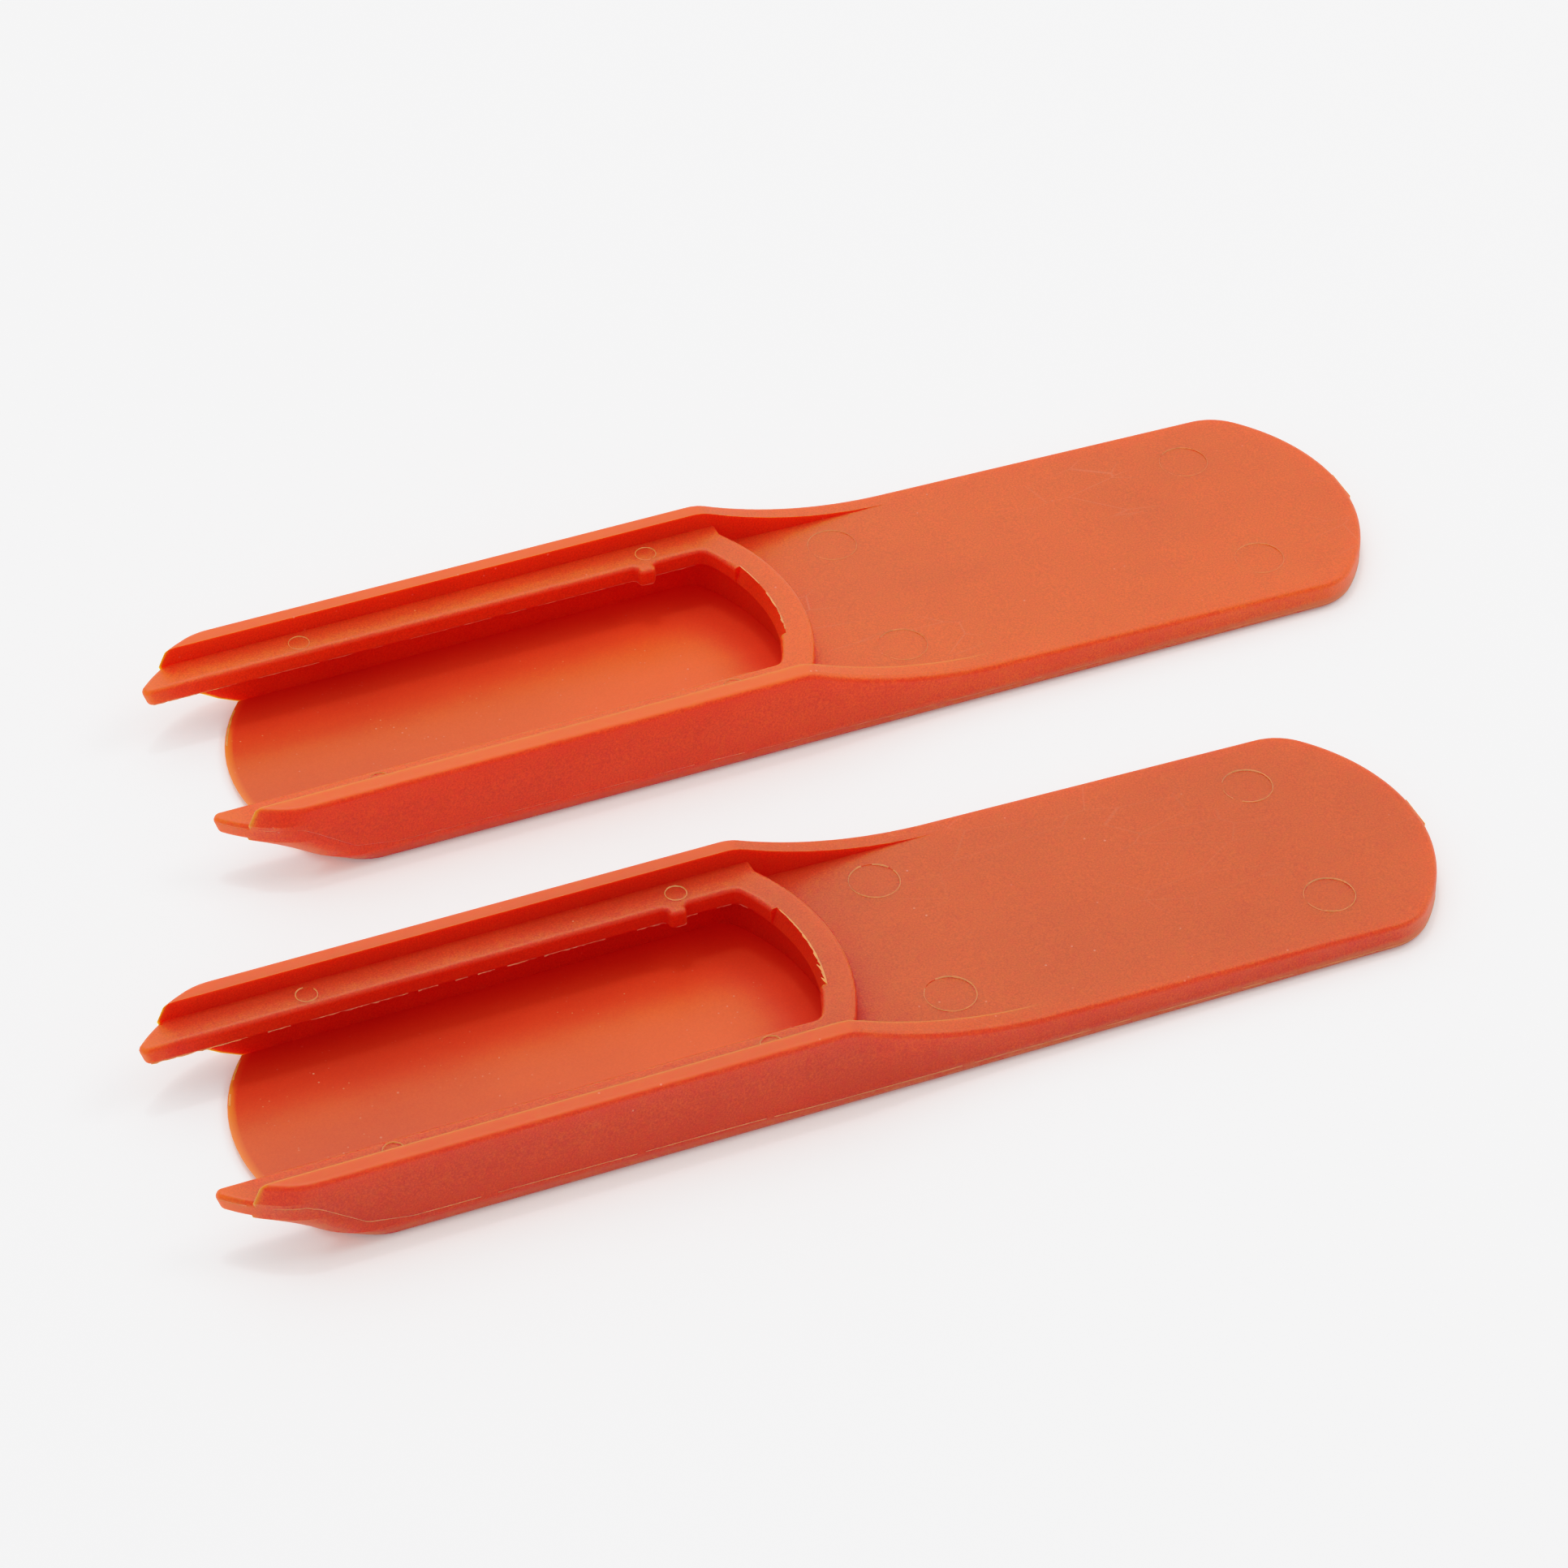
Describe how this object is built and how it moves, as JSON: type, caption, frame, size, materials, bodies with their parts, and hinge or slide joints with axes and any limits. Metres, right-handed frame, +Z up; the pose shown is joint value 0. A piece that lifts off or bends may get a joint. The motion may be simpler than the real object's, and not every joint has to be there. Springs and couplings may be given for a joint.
{
  "type": "leaf grabber hand pair",
  "caption": "Slip-on plastic paddles for a pick-up tool's jaws, each a shallow snap socket that runs on into a flat rounded blade.",
  "frame": {"origin": "centre of the pair's bounding box, on the surface that both hands lie on", "axes": "+X from the open sockets to the paddle tips, +Y from the near hand to the far hand, +Z up"},
  "size_m": [0.1742, 0.0984, 0.0108],
  "materials": {
    "orange_plastic": "moulded, waxy semi-gloss"
  },
  "bodies": {
    "near_hand": {"near_hand": "orange_plastic"},
    "far_hand": {"far_hand": "orange_plastic"}
  },
  "joints": [
    {"name": "far_hand_lift", "type": "slide", "parent": "near_hand", "child": "far_hand", "axis": [0, 0, 1], "range_m": [0, 0.1]}
  ]
}
